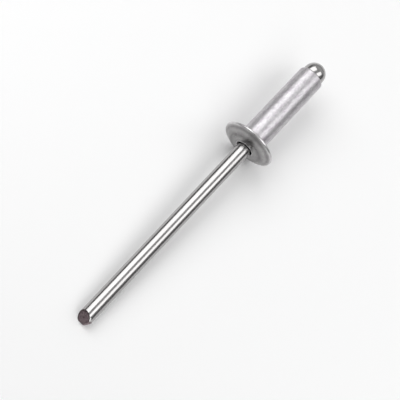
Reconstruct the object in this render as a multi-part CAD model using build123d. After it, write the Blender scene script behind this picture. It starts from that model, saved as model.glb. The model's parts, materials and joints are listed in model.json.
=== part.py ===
from build123d import *
import os
from math import asin, atan2, cos, degrees, hypot, radians, sin, sqrt

# Dome head blind rivet as it lies on a table: flange rim and mandrel tip touch, the ball head is in the air.
# Sizes are in mm and angles in degrees.
# The origin is the middle of the flange's bearing face, and +X runs towards the ball head.

# Rivet body, an aluminium sleeve with its flange
shank_diameter = 3.2
shank_length = 11.4
flange_diameter = 6.6
flange_rim_thickness = 0.38
flange_root_fillet = 0.12
head_height = 0.93
crown_width = 0.28
bore_clearance = 0.16
mouth_lip_round = 0.07
shank_end_round_share = 0.8

# Mandrel, a steel nail pulled through the sleeve
mandrel_diameter = 1.78
mandrel_free_length = 27.3
ball_diameter = 2.74
ball_stand_off = 0.5
ball_seat_clearance = 0.02

# Break neck of the mandrel, and the staked ring of the sleeve that lies in it
neck_depth = 1.4
neck_floor_width = 0.3
neck_diameter_share = 0.78
stake_width_share = 0.5

# Cut end of the mandrel: a square end with a wide shear face up on its left, two pinch facets on its right
# and a small flat underneath, on which it rests
facet_tilts = (40.5, 68.0, 48.0)
facet_azimuths = (-34.0, 22.0, 83.0)
facet_offset_shares = (-0.293, 0.565, 0.255)
tip_flat_depth = 0.2

shank_radius = shank_diameter / 2
flange_radius = flange_diameter / 2
rim_round = flange_rim_thickness / 2
mandrel_radius = mandrel_diameter / 2
bore_radius = mandrel_radius + bore_clearance
mouth_radius = bore_radius + 2 * mouth_lip_round
neck_radius = neck_diameter_share * mandrel_radius
stake_radius = (neck_radius + mandrel_radius) / 2
ball_radius = ball_diameter / 2
ball_x = shank_length + ball_stand_off
neck_x = shank_length - neck_depth
mouth_x = -head_height
tip_x = mouth_x - mandrel_free_length


def rest_angle():
    """The lean of the axis when the flange rim and the flat under the mandrel's cut end touch the table."""
    run = -rim_round - tip_x
    rise = flange_radius - rim_round - (mandrel_radius - tip_flat_depth)
    return degrees(atan2(rise, run) + asin(rim_round / hypot(run, rise)))


def arc_about(centre, start, end):
    """The shorter arc about a centre from one point to another."""
    cx, cy = centre
    sx, sy = start[0] - cx, start[1] - cy
    ex, ey = end[0] - cx, end[1] - cy
    stretch = hypot(sx, sy) / hypot(sx + ex, sy + ey)
    middle = (cx + (sx + ex) * stretch, cy + (sy + ey) * stretch)
    return ThreePointArc(start, middle, end)


def chain(points):
    """Straight edges through a list of points."""
    return [Line(start, end) for start, end in zip(points, points[1:])]


def turned(edges):
    """A solid turned about the rivet's axis from half of its outline."""
    return revolve(make_face(edges), Axis.X)


def groove(outer_radius, inner_radius, inner_width):
    """Corners of a groove or ring at the break neck, with flanks at 45 degrees, in the order of growing x."""
    inner_half = inner_width / 2
    outer_half = inner_half + outer_radius - inner_radius
    return [
        (neck_x - outer_half, outer_radius),
        (neck_x - inner_half, inner_radius),
        (neck_x + inner_half, inner_radius),
        (neck_x + outer_half, outer_radius),
    ]


def flange_edges():
    """Bearing face, rounded rim, dome, crown and the round lip of the bore, from the shank's fillet."""
    crown_radius = mouth_radius + crown_width
    foot_radius = flange_radius - rim_round
    dome_rise = head_height - flange_rim_thickness
    dome_run = foot_radius - crown_radius
    dome_radius = (dome_rise**2 + dome_run**2) / (2 * dome_rise)
    seat_inner = (0, shank_radius + flange_root_fillet)
    seat_outer = (0, foot_radius)
    dome_foot = (-flange_rim_thickness, foot_radius)
    crown_outer = (mouth_x, crown_radius)
    lip_top = (mouth_x - mouth_lip_round, bore_radius + mouth_lip_round)
    return [
        Line(seat_inner, seat_outer),
        ThreePointArc(seat_outer, (-rim_round, flange_radius), dome_foot),
        arc_about((mouth_x + dome_radius, crown_radius), dome_foot, crown_outer),
        Line(crown_outer, (mouth_x, mouth_radius)),
        ThreePointArc((mouth_x, mouth_radius), lip_top, (mouth_x, bore_radius)),
    ]


def make_rivet_body():
    """Flange and hollow shank in one piece, with a round seat for the ball in its blind end."""
    seat_radius = ball_radius + ball_seat_clearance
    lip_radius = sqrt(seat_radius**2 - ball_stand_off**2)
    end_round = shank_end_round_share * (shank_radius - lip_radius)
    seat_foot = (ball_x - sqrt(seat_radius**2 - bore_radius**2), bore_radius)
    seat_lip = (shank_length, lip_radius)
    end_inner = (shank_length, shank_radius - end_round)
    end_outer = (shank_length - end_round, shank_radius)
    root_shank = (flange_root_fillet, shank_radius)
    root_seat = (0, shank_radius + flange_root_fillet)
    stake = groove(bore_radius, stake_radius, stake_width_share * neck_floor_width)
    edges = [arc_about((ball_x, 0), seat_foot, seat_lip)]
    edges.append(Line(seat_lip, end_inner))
    edges.append(arc_about((end_outer[0], end_inner[1]), end_inner, end_outer))
    edges.append(Line(end_outer, root_shank))
    edges.append(arc_about((root_shank[0], root_seat[1]), root_shank, root_seat))
    edges += flange_edges()
    edges += chain([(mouth_x, bore_radius), *stake, seat_foot])
    return turned(edges)


def tip_facets():
    """Tilt, azimuth and offset share of each flat on the cut end, with the one underneath last."""
    lean = rest_angle()
    flat_share = cos(radians(lean)) * (1 - tip_flat_depth / mandrel_radius)
    return [*zip(facet_tilts, facet_azimuths, facet_offset_shares), (90 - lean, 180, flat_share)]


def cut_tip(rod):
    """The rod with the slanting facets sheared off its square end."""
    tip = Vector(tip_x, 0, 0)
    for tilt, azimuth, offset_share in tip_facets():
        lean, turn = radians(tilt), radians(azimuth)
        outward = Vector(-cos(lean), -sin(lean) * sin(turn), sin(lean) * cos(turn))
        facet = Plane(origin=tip + outward * (offset_share * mandrel_radius), z_dir=outward)
        rod = split(rod, bisect_by=facet, keep=Keep.BOTTOM)
    return rod


def make_mandrel():
    """Ball head, break neck and pulling stem in one piece."""
    ball_foot = (ball_x - sqrt(ball_radius**2 - mandrel_radius**2), mandrel_radius)
    ball_waist = (ball_x, ball_radius)
    ball_top = (ball_x + ball_radius, 0)
    neck = groove(mandrel_radius, neck_radius, neck_floor_width)
    edges = chain([(tip_x, 0), (tip_x, mandrel_radius), *neck, ball_foot])
    edges.append(arc_about((ball_x, 0), ball_foot, ball_waist))
    edges.append(arc_about((ball_x, 0), ball_waist, ball_top))
    edges.append(Line(ball_top, (tip_x, 0)))
    return cut_tip(turned(edges))


os.makedirs("parts", exist_ok=True)
lying = Rot(0, -rest_angle(), 0)
export_step(lying * make_rivet_body(), "parts/rivet_body.step")
export_step(lying * make_mandrel(), "parts/mandrel.step")
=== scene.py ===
import json
from math import atan2, ceil, cos, degrees, hypot, pi, radians, sin, sqrt

import bpy
from mathutils import Matrix, Vector


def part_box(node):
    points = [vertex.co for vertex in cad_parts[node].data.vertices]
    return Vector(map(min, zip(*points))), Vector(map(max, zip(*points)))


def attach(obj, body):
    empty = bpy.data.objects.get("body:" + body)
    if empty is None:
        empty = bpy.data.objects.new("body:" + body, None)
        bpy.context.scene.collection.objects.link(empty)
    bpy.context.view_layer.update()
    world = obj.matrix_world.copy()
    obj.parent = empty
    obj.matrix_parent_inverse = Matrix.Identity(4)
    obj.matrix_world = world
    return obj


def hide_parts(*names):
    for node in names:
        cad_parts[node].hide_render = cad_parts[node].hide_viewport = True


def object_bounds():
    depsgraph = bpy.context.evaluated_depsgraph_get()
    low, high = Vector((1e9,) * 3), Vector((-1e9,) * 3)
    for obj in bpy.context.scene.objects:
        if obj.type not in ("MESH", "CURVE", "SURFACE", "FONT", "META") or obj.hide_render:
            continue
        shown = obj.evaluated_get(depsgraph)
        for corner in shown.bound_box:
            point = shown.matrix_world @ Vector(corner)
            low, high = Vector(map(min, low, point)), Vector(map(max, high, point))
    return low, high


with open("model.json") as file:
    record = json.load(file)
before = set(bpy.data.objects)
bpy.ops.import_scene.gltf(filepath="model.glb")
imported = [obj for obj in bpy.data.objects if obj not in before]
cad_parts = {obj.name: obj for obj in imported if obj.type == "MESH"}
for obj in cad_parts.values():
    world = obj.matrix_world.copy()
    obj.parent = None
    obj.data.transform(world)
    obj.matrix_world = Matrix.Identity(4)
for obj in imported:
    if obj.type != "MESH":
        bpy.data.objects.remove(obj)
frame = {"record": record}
cad_low, cad_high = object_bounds()
mounts = {mount["name"]: mount for mount in frame["record"]["mounts"]}

# Lengths are in metres, and the angles that are set here are in degrees.
# A point (x, y, z) is about the rivet's own axis: x towards the ball head, z up, origin in the bearing face.
mm = 0.001
axis = Vector(mounts["shank"]["axis"]).normalized()
across = Vector((0, 1, 0))
above = axis.cross(across)
lean = atan2(axis.z, axis.x)

# Sizes of the solids that the turned pieces stand for
shank_radius = mounts["shank"]["dims"]["r_mm"] * mm
mandrel_radius = mounts["mandrel_grip"]["dims"]["r_mm"] * mm
mandrel_free_length = mounts["mandrel_grip"]["dims"]["length_mm"] * mm
flange_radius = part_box("rivet_body")[1].y
shank_length = 0.0114
flange_rim_thickness = 0.00038
flange_root_fillet = 0.00012
head_height = 0.00093
crown_width = 0.00028
bore_clearance = 0.00016
mouth_lip_round = 0.00007
shank_end_round_share = 0.8
ball_radius = 0.00137
ball_stand_off = 0.0005
ball_seat_clearance = 0.00002
neck_depth = 0.0014
neck_floor_width = 0.0003
neck_diameter_share = 0.78
stake_width_share = 0.5
facet_tilts = (40.5, 68.0, 48.0)
facet_azimuths = (-34.0, 22.0, 83.0)
facet_offset_shares = (-0.293, 0.565, 0.255)
tip_flat_depth = 0.0002

ball_x = shank_length + ball_stand_off
neck_x = shank_length - neck_depth
mouth_x = -head_height
tip_x = mouth_x - mandrel_free_length
bore_radius = mandrel_radius + bore_clearance
mouth_radius = bore_radius + 2 * mouth_lip_round
neck_radius = neck_diameter_share * mandrel_radius
rim_round = flange_rim_thickness / 2

# Fineness of the turned meshes, which lie inside the solids by the inset
inset = 0.000005
segments = 192
step_length = 0.00025
arc_step = 4.0
crease_angle = 20.0
face_rings = 40
first_ring_share = 0.05
tip_stretch_share = 3.0
tip_step_shares = (0.006, 0.02, 0.05, 0.1, 0.2, 0.35, 0.5, 0.65, 0.8, 1.0)

# Camera, fitted to the outline in the photograph
view_around = 0.0
view_slant = 20.375
view_roll = 43.146
view_distance = 0.143693
view_lens = 117.0
view_clip = 0.001
look_along = -0.00912
look_right = 0.000337

# Studio: two large soft boxes and a small one in front, each of a width and a length, over a pale floor
softbox_distance = 0.25
left_around = -37.1
left_along = 0.075
left_turn = 25.0
left_size = (0.225, 0.26)
left_strength = 2.2
right_around = 35.6
right_along = 0.065
right_turn = 20.0
right_size = (0.135, 0.28)
right_strength = 2.1
front_around = 44.0
front_along = -0.125
front_turn = 0.0
front_size = (0.07, 0.09)
front_strength = right_strength
floor_half = 1.5
floor_grey = 0.95
floor_rough = 0.4
floor_index = 1.5

# Room: greys at the horizon, overhead and added on the far side, which fades between two angles from +X
room_low = 0.07
room_high = 0.46
room_far = 0.34
far_edge = 63.0
far_middle = 37.0

# Marks in the finishes: a size is along and across the axis, and a height is that of a relief
white = (1.0, 1.0, 1.0)
noise_shares = (0.3, 0.7)
plain_detail = 2.0
streak_detail = 3.0
tear_detail = 4.0

# Drawn aluminium of the shank
drawn_streak_size = (0.0008, 0.0003)
drawn_streak_shares = (0.34, 0.5, 0.68)
drawn_streak_colours = ((0.524, 0.486, 0.526), (0.613, 0.595, 0.616), (0.63, 0.616, 0.632))
drawn_speck_size = (0.00032, 0.00022)
drawn_speck_shares = (0.35, 0.65)
drawn_speck_tint = (0.83, 0.83, 0.83)
drawn_rough_size = (0.0012, 0.0005)
drawn_rough = (0.39, 0.48)
drawn_line_size = (0.002, 0.00006)
drawn_line_height = 0.0000012
drawn_dent_size = (0.0004, 0.00028)
drawn_dent_height = 0.000009
drawn_wave_size = (0.001, 0.0007)
drawn_wave_height = 0.00001

# Struck aluminium of the flange, with painted reflection rings from the bore to the rim: the dark tone is a
# painted dark reflection and the light tone a painted highlight
struck_painted_reflection_dark = (0.26, 0.255, 0.255)
struck_middle = (0.42, 0.415, 0.412)
struck_painted_highlight = (0.66, 0.655, 0.655)
# Where the painted rings lie: a painted highlight at the lip, painted dark reflections on the dome and a
# painted highlight at the rim
struck_reflection_ring_shares = (0.0, 0.07, 0.24, 0.45, 0.71, 0.84, 0.91, 0.96)
struck_reflection_ring_colours = (
    struck_painted_highlight,
    struck_middle,
    struck_middle,
    struck_painted_reflection_dark,
    struck_middle,
    struck_painted_reflection_dark,
    struck_middle,
    struck_painted_highlight,
)
struck_patch_size = (0.0006, 0.0006)
struck_patch_shares = (0.3, 0.6)
struck_patch_tint = (0.82, 0.8, 0.82)
struck_rough_size = (0.0004, 0.0004)
struck_rough = (0.26, 0.34)
struck_dent_size = (0.0007, 0.0007)
struck_dent_height = 0.000009

# Bright steel of the mandrel
steel_streak_size = (0.006, 0.0003)
steel_streak_shares = (0.3, 0.7)
steel_streak_colours = ((0.402, 0.393, 0.391), (0.442, 0.433, 0.431))
steel_rough_size = (0.002, 0.0003)
steel_rough = (0.16, 0.23)
steel_line_size = (0.003, 0.00005)
steel_line_height = 0.0000006

# Torn steel of the cut end, and the lighter kind where it was pinched
tear_size = (0.0002, 0.00012)
tear_shares = (0.3, 0.7)
tear_colours = ((0.14, 0.107, 0.114), (0.29, 0.23, 0.245))
tear_rough = (0.4, 0.6)
tear_height = 0.00002
blotch_size = (0.00027, 0.00027)
blotch_shares = (0.34, 0.52)
blotch_tint = (0.45, 0.43, 0.44)
edge_start_share = 0.5
edge_shares = (0.45, 0.95)
torn_light_share = 1.0
torn_edge_share = 0.3
pinched_light_share = 1.7
pinched_edge_share = 1.0

# The mandrel's materials by number, and those of the square end and of each flat on the cut end
bright, torn, pinched = range(3)
facet_finishes = (torn, torn, bright, pinched, bright)


def lying(point):
    """A point about the rivet's own axis, in the row frame."""
    x, y, z = point
    return axis * x + across * y + above * z


def turned_point(x, radius, angle):
    """A point at an angle about the axis, from the top towards the right."""
    return (x, -radius * sin(angle), radius * cos(angle))


def line(start, end):
    """Even steps along a straight edge, without its start."""
    steps = max(1, ceil(hypot(end[0] - start[0], end[1] - start[1]) / step_length))
    return [tuple(a + (b - a) * i / steps for a, b in zip(start, end)) for i in range(1, steps + 1)]


def arc(centre, start, end):
    """Even steps along the shorter arc about a centre, without its start."""
    cx, cy = centre
    radius = hypot(start[0] - cx, start[1] - cy)
    first = atan2(start[1] - cy, start[0] - cx)
    sweep = (atan2(end[1] - cy, end[0] - cx) - first + pi) % (2 * pi) - pi
    steps = max(2, ceil(abs(sweep) / radians(arc_step)))
    angles = [first + sweep * i / steps for i in range(1, steps + 1)]
    return [(cx + radius * cos(angle), cy + radius * sin(angle)) for angle in angles]


def path(points):
    """Straight edges through a list of points, without the first."""
    return [step for start, end in zip(points, points[1:]) for step in line(start, end)]


def groove(outer_radius, inner_radius, inner_width):
    """Corners of the break neck or of the staked ring in it, in the order of growing x."""
    inner_half = inner_width / 2
    outer_half = inner_half + outer_radius - inner_radius
    return [
        (neck_x - outer_half, outer_radius),
        (neck_x - inner_half, inner_radius),
        (neck_x + inner_half, inner_radius),
        (neck_x + outer_half, outer_radius),
    ]


def head_outline():
    """Bearing face, rounded rim, dome, crown and the round lip of the bore, from the shank's fillet."""
    crown_radius = mouth_radius + crown_width
    foot_radius = flange_radius - rim_round
    dome_rise = head_height - flange_rim_thickness
    dome_run = foot_radius - crown_radius
    dome_radius = (dome_rise**2 + dome_run**2) / (2 * dome_rise)
    seat_inner = (0, shank_radius + flange_root_fillet)
    seat_outer = (0, foot_radius)
    rim_centre = (-rim_round, foot_radius)
    rim_middle = (-rim_round, flange_radius)
    dome_foot = (-flange_rim_thickness, foot_radius)
    crown_outer = (mouth_x, crown_radius)
    crown_inner = (mouth_x, mouth_radius)
    lip_centre = (mouth_x, bore_radius + mouth_lip_round)
    lip_top = (mouth_x - mouth_lip_round, bore_radius + mouth_lip_round)
    outline = line(seat_inner, seat_outer)
    outline += arc(rim_centre, seat_outer, rim_middle)
    outline += arc(rim_centre, rim_middle, dome_foot)
    outline += arc((mouth_x + dome_radius, crown_radius), dome_foot, crown_outer)
    outline += line(crown_outer, crown_inner)
    outline += arc(lip_centre, crown_inner, lip_top)
    return outline + arc(lip_centre, lip_top, (mouth_x, bore_radius))


def body_outline():
    """Outline of the sleeve, as a closed run of (x, radius)."""
    seat_radius = ball_radius + ball_seat_clearance
    lip_radius = sqrt(seat_radius**2 - ball_stand_off**2)
    end_round = shank_end_round_share * (shank_radius - lip_radius)
    seat_foot = (ball_x - sqrt(seat_radius**2 - bore_radius**2), bore_radius)
    seat_lip = (shank_length, lip_radius)
    end_inner = (shank_length, shank_radius - end_round)
    end_outer = (shank_length - end_round, shank_radius)
    root_shank = (flange_root_fillet, shank_radius)
    root_seat = (0, shank_radius + flange_root_fillet)
    stake_radius = (neck_radius + mandrel_radius) / 2
    stake = groove(bore_radius, stake_radius, stake_width_share * neck_floor_width)
    outline = arc((ball_x, 0), seat_foot, seat_lip)
    outline += line(seat_lip, end_inner)
    outline += arc((end_outer[0], end_inner[1]), end_inner, end_outer)
    outline += line(end_outer, root_shank)
    outline += arc((root_shank[0], root_seat[1]), root_shank, root_seat)
    outline += head_outline()
    return outline + path([(mouth_x, bore_radius), *stake, seat_foot])


def tip_facets():
    """Tilt, azimuth and offset share of each flat on the cut end, with the one underneath last."""
    flat_share = cos(lean) * (1 - (tip_flat_depth + inset) / mandrel_radius)
    return [*zip(facet_tilts, facet_azimuths, facet_offset_shares), (90 - degrees(lean), 180, flat_share)]


def facet_depths(radius, angle):
    """How far along the axis the square end and each facet lie, at a place on the mandrel's end."""
    _, y, z = turned_point(0, radius, angle)
    depths = [tip_x + inset]
    for tilt, azimuth, offset_share in tip_facets():
        slope = radians(tilt)
        turn = radians(azimuth)
        sideways = -sin(slope) * sin(turn) * y + sin(slope) * cos(turn) * z
        depths.append(tip_x + (sideways - offset_share * mandrel_radius) / cos(slope))
    return depths


def turns():
    """The angles of one ring of points."""
    return [2 * pi * i / segments for i in range(segments)]


def ring(x, radius):
    """One ring of points about the axis."""
    return [turned_point(x, max(radius - inset, inset), turn) for turn in turns()]


def face_share(i):
    """How far out from the middle ring i of the cut end lies, as a share of the mandrel's radius."""
    return max(i, first_ring_share) / face_rings


def tip_rings():
    """The cut end from its middle to its edge, and the first stretch of the stem behind it."""
    radius = mandrel_radius - inset
    start = tip_x + tip_stretch_share * mandrel_radius
    edges = [max(facet_depths(radius, turn)) for turn in turns()]
    rings = []
    for i in range(face_rings):
        spot = face_share(i) * radius
        rings.append([turned_point(max(facet_depths(spot, turn)), spot, turn) for turn in turns()])
    for share in tip_step_shares:
        places = [x + share * (start - x) for x in edges]
        rings.append([turned_point(x, radius, turn) for x, turn in zip(places, turns())])
    return rings


def mandrel_rings():
    """The mandrel from its cut end to the top of its ball."""
    ball = ball_radius - inset
    start = (tip_x + tip_stretch_share * mandrel_radius, mandrel_radius)
    ball_foot = (ball_x - sqrt(ball**2 - mandrel_radius**2), mandrel_radius)
    ball_waist = (ball_x, ball)
    ball_top = (ball_x + ball, 0)
    neck = groove(mandrel_radius, neck_radius, neck_floor_width)
    outline = path([start, *neck, ball_foot])
    outline += arc((ball_x, 0), ball_foot, ball_waist)
    outline += arc((ball_x, 0), ball_waist, ball_top)
    return tip_rings() + [ring(x, radius) for x, radius in outline]


def ring_faces(count, closed, finish):
    """Faces through rings of points, with flat ends where the rings don't close, and the finish of each."""
    faces = []
    finishes = []
    for i in range(count if closed else count - 1):
        low = i * segments
        high = (i + 1) % count * segments
        for j in range(segments):
            k = (j + 1) % segments
            faces.append((low + j, low + k, high + k, high + j))
            finishes.append(finish(i, j))
    if not closed:
        last = (count - 1) * segments
        faces.append(tuple(reversed(range(segments))))
        finishes.append(finish(0, 0))
        faces.append(tuple(last + j for j in range(segments)))
        finishes.append(finish(count - 1, 0))
    return faces, finishes


def build_piece(name, rings, closed, materials, finish):
    """A smooth mesh through rings of points; finish gives the material's number at a ring and a segment."""
    points = [lying(point) for one in rings for point in one]
    faces, finishes = ring_faces(len(rings), closed, finish)
    mesh = bpy.data.meshes.new(name)
    mesh.from_pydata(points, [], faces)
    for material in materials:
        mesh.materials.append(material)
    mesh.polygons.foreach_set("material_index", finishes)
    mesh.update()
    mesh.shade_smooth()
    mesh.set_sharp_from_angle(angle=radians(crease_angle))
    piece = bpy.data.objects.new(name, mesh)
    bpy.context.scene.collection.objects.link(piece)
    return piece


def make_sleeve():
    """The sleeve, drawn on its shank and struck smooth on its flange."""
    outline = body_outline()

    def finish(i, j):
        return int(outline[i][0] < flange_root_fillet)

    rings = [ring(x, radius) for x, radius in outline]
    return build_piece("sleeve", rings, True, [drawn_aluminium(), struck_aluminium()], finish)


def make_nail():
    """The mandrel, bright but for the torn and pinched facets of its cut end."""
    def finish(i, j):
        if i >= face_rings:
            return bright
        depths = facet_depths(face_share(i + 0.5) * mandrel_radius, 2 * pi * (j + 0.5) / segments)
        return facet_finishes[depths.index(max(depths))]

    materials = [
        bright_steel(),
        torn_steel("torn_steel", torn_light_share, torn_edge_share),
        torn_steel("pinched_steel", pinched_light_share, pinched_edge_share),
    ]
    return build_piece("nail", mandrel_rings(), False, materials, finish)


class Surface:
    """A procedural metal whose marks follow the rivet's own axis."""

    def __init__(self, name):
        self.material = bpy.data.materials.new(name)
        self.material.use_nodes = True
        self.tree = self.material.node_tree
        self.shader = self.tree.nodes["Principled BSDF"]
        self.place = self.tree.nodes.new("ShaderNodeTexCoord").outputs["Object"]

    def link(self, output, socket):
        """Connects two nodes."""
        self.tree.links.new(output, socket)

    def lying_place(self):
        """A mapping node that turns places on the object to the rivet's own axis."""
        node = self.tree.nodes.new("ShaderNodeMapping")
        node.vector_type = "TEXTURE"
        node.inputs["Rotation"].default_value = (0, -lean, 0)
        self.link(self.place, node.inputs["Vector"])
        return node

    def grain(self, size, detail=plain_detail):
        """Noise from 0 to 1, whose patches have a size along the axis and another across it."""
        length, width = size
        mapping = self.lying_place()
        mapping.inputs["Scale"].default_value = (length, width, width)
        texture = self.tree.nodes.new("ShaderNodeTexNoise")
        texture.inputs["Scale"].default_value = 1.0
        texture.inputs["Detail"].default_value = detail
        self.link(mapping.outputs["Vector"], texture.inputs["Vector"])
        return texture.outputs["Fac"]

    def radius(self, start, end):
        """Distance from the axis, from 0 at one radius to 1 at another."""
        squeezed = self.tree.nodes.new("ShaderNodeVectorMath")
        squeezed.operation = "MULTIPLY"
        squeezed.inputs[1].default_value = (0.0, 1.0, 1.0)
        length = self.tree.nodes.new("ShaderNodeVectorMath")
        length.operation = "LENGTH"
        node = self.tree.nodes.new("ShaderNodeMapRange")
        node.inputs["From Min"].default_value = start
        node.inputs["From Max"].default_value = end
        self.link(self.lying_place().outputs["Vector"], squeezed.inputs[0])
        self.link(squeezed.outputs["Vector"], length.inputs[0])
        self.link(length.outputs["Value"], node.inputs["Value"])
        return node.outputs["Result"]

    def ramp(self, value, shares, colours):
        """Colours along a value, each at its share of the way from 0 to 1."""
        node = self.tree.nodes.new("ShaderNodeValToRGB")
        elements = node.color_ramp.elements
        while len(elements) < len(shares):
            elements.new(1.0)
        for element, share, colour in zip(elements, shares, colours):
            element.position = share
            element.color = (*colour, 1.0)
        self.link(value, node.inputs["Fac"])
        return node.outputs["Color"]

    def times(self, colour, tint):
        """One colour tinted by another."""
        node = self.tree.nodes.new("ShaderNodeVectorMath")
        node.operation = "MULTIPLY"
        self.link(colour, node.inputs[0])
        self.link(tint, node.inputs[1])
        return node.outputs["Vector"]

    def spread(self, value, limits):
        """The middle of a noise, stretched from one limit to the other."""
        node = self.tree.nodes.new("ShaderNodeMapRange")
        node.inputs["From Min"].default_value, node.inputs["From Max"].default_value = noise_shares
        node.inputs["To Min"].default_value, node.inputs["To Max"].default_value = limits
        self.link(value, node.inputs["Value"])
        return node.outputs["Result"]

    def relief(self, value, height, under=None):
        """Bumps of a height, on top of others."""
        node = self.tree.nodes.new("ShaderNodeBump")
        node.inputs["Strength"].default_value = 1.0
        node.inputs["Distance"].default_value = height
        self.link(value, node.inputs["Height"])
        if under:
            self.link(under, node.inputs["Normal"])
        return node.outputs["Normal"]

    def finish(self, colour, rough, normal):
        """Connects the metal's colour, roughness and relief."""
        self.shader.inputs["Metallic"].default_value = 1.0
        self.link(colour, self.shader.inputs["Base Color"])
        self.link(rough, self.shader.inputs["Roughness"])
        self.link(normal, self.shader.inputs["Normal"])


def drawn_aluminium():
    """Shank of the sleeve: soft highlights, with faint pinkish streaks, fine specks and small dents."""
    metal = Surface("drawn_aluminium")
    streaks = metal.grain(drawn_streak_size, streak_detail)
    tones = metal.ramp(streaks, drawn_streak_shares, drawn_streak_colours)
    specks = metal.ramp(metal.grain(drawn_speck_size), drawn_speck_shares, (drawn_speck_tint, white))
    rough = metal.spread(metal.grain(drawn_rough_size), drawn_rough)
    lines = metal.relief(metal.grain(drawn_line_size), drawn_line_height)
    dents = metal.relief(metal.grain(drawn_dent_size), drawn_dent_height, lines)
    waves = metal.relief(metal.grain(drawn_wave_size), drawn_wave_height, dents)
    metal.finish(metal.times(tones, specks), rough, waves)
    return metal.material


def struck_aluminium():
    """Flange of the sleeve: smoother than the shank, with painted reflection rings from the bore to the rim,
    lighter where a highlight is painted on the lip and the rim and darker where dark reflections are painted
    between.
    """
    metal = Surface("struck_aluminium")
    outward = metal.radius(bore_radius, flange_radius)
    # Painted reflections and highlights, set by the distance from the axis
    rings = metal.ramp(outward, struck_reflection_ring_shares, struck_reflection_ring_colours)
    spots = metal.grain(struck_patch_size, streak_detail)
    patches = metal.ramp(spots, struck_patch_shares, (struck_patch_tint, white))
    rough = metal.spread(metal.grain(struck_rough_size), struck_rough)
    dents = metal.relief(metal.grain(struck_dent_size), struck_dent_height)
    metal.finish(metal.times(rings, patches), rough, dents)
    return metal.material


def bright_steel():
    """Plated steel wire: mirror bright, with fine draw lines."""
    metal = Surface("bright_steel")
    streaks = metal.grain(steel_streak_size, streak_detail)
    colour = metal.ramp(streaks, steel_streak_shares, steel_streak_colours)
    rough = metal.spread(metal.grain(steel_rough_size), steel_rough)
    lines = metal.relief(metal.grain(steel_line_size), steel_line_height)
    metal.finish(colour, rough, lines)
    return metal.material


def torn_steel(name, light_share, edge_share):
    """Torn steel of the cut end: dull and purplish, with darker blotches and an edge darkened to a share."""
    metal = Surface(name)
    tears = metal.grain(tear_size, tear_detail)
    tones = [[light_share * level for level in colour] for colour in tear_colours]
    tone = metal.ramp(tears, tear_shares, tones)
    blotches = metal.ramp(metal.grain(blotch_size), blotch_shares, (blotch_tint, white))
    outward = metal.radius(edge_start_share * mandrel_radius, mandrel_radius)
    edge = metal.ramp(outward, edge_shares, (white, (edge_share, edge_share, edge_share)))
    colour = metal.times(metal.times(tone, blotches), edge)
    metal.finish(colour, metal.spread(tears, tear_rough), metal.relief(tears, tear_height))
    return metal.material


def make_pieces():
    """The sleeve and the nail, each in place of its solid."""
    for piece, node, slot in (
        (make_sleeve(), "rivet_body", "satin_aluminium"),
        (make_nail(), "mandrel", "bright_steel"),
    ):
        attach(piece, "root")
        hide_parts(node)


def make_floor():
    """A plain pale floor at the lowest point of the rivet."""
    corners = [(-1, -1), (1, -1), (1, 1), (-1, 1)]
    mesh = bpy.data.meshes.new("floor")
    mesh.from_pydata([(x * floor_half, y * floor_half, cad_low.z) for x, y in corners], [], [(0, 1, 2, 3)])
    material = bpy.data.materials.new("floor")
    material.use_nodes = True
    shader = material.node_tree.nodes["Principled BSDF"]
    shader.inputs["Base Color"].default_value = (floor_grey, floor_grey, floor_grey, 1.0)
    shader.inputs["Roughness"].default_value = floor_rough
    shader.inputs["IOR"].default_value = floor_index
    mesh.materials.append(material)
    floor = bpy.data.objects.new("floor", mesh)
    bpy.context.scene.collection.objects.link(floor)


def softbox(name, around, along, turn, size, strength):
    """A soft light at an angle about the axis and a place along it, with its length turned to the right."""
    width, length = size
    side = above * cos(radians(around)) - across * sin(radians(around))
    lengthwise = axis * cos(radians(turn)) + axis.cross(side) * sin(radians(turn))
    lamp = bpy.data.lights.new(name, "AREA")
    lamp.shape = "RECTANGLE"
    lamp.size = width
    lamp.size_y = length
    lamp.energy = strength * pi * width * length
    placed = bpy.data.objects.new(name, lamp)
    placed.matrix_world = Matrix((lengthwise.cross(side), lengthwise, side)).transposed().to_4x4()
    placed.matrix_world.translation = axis * along + side * softbox_distance
    bpy.context.scene.collection.objects.link(placed)


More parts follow.
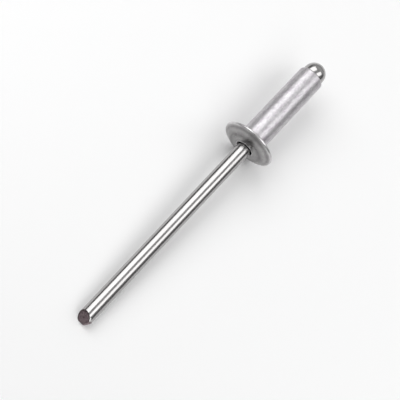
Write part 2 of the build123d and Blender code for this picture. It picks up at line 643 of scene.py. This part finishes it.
def light_studio():
    """A large soft box on either side of the rivet, and a small one in front of its cut end."""
    softbox("softbox_left", left_around, left_along, left_turn, left_size, left_strength)
    softbox("softbox_right", right_around, right_along, right_turn, right_size, right_strength)
    softbox("softbox_front", front_around, front_along, front_turn, front_size, front_strength)


def make_room():
    """A dim room, lighter overhead and on its far side, where the ball head points."""
    world = bpy.data.worlds.new("room")
    world.use_nodes = True
    tree = world.node_tree
    direction = tree.nodes.new("ShaderNodeTexCoord")
    parts = tree.nodes.new("ShaderNodeSeparateXYZ")
    overhead = tree.nodes.new("ShaderNodeValToRGB")
    for element, grey in zip(overhead.color_ramp.elements, (room_low, room_high)):
        element.color = (grey, grey, grey, 1.0)
    far = tree.nodes.new("ShaderNodeMapRange")
    far.inputs["From Min"].default_value = cos(radians(far_edge))
    far.inputs["From Max"].default_value = cos(radians(far_middle))
    far.inputs["To Max"].default_value = room_far
    total = tree.nodes.new("ShaderNodeVectorMath")
    total.operation = "ADD"
    tree.links.new(direction.outputs["Generated"], parts.inputs["Vector"])
    tree.links.new(parts.outputs["Z"], overhead.inputs["Fac"])
    tree.links.new(parts.outputs["X"], far.inputs["Value"])
    tree.links.new(overhead.outputs["Color"], total.inputs[0])
    tree.links.new(far.outputs["Result"], total.inputs[1])
    tree.links.new(total.outputs["Vector"], tree.nodes["Background"].inputs["Color"])
    bpy.context.scene.world = world


def make_camera():
    """The photograph's view: along the rivet from above its cut end, rolled to put it on the diagonal."""
    around = radians(view_around)
    slant = radians(view_slant)
    roll = radians(view_roll)
    back = (above * cos(around) - across * sin(around)) * cos(slant) - axis * sin(slant)
    level = -across * cos(around) - above * sin(around)
    upward = back.cross(level)
    right = level * cos(roll) + upward * sin(roll)
    top = upward * cos(roll) - level * sin(roll)
    data = bpy.data.cameras.new("camera")
    data.lens = view_lens
    data.clip_start = view_clip
    camera = bpy.data.objects.new("camera", data)
    camera.matrix_world = Matrix((right, top, back)).transposed().to_4x4()
    camera.matrix_world.translation = axis * look_along + level * look_right + back * view_distance
    bpy.context.scene.collection.objects.link(camera)
    bpy.context.scene.camera = camera


make_pieces()
make_floor()
light_studio()
make_room()
make_camera()
bpy.context.scene.view_settings.view_transform = "Standard"
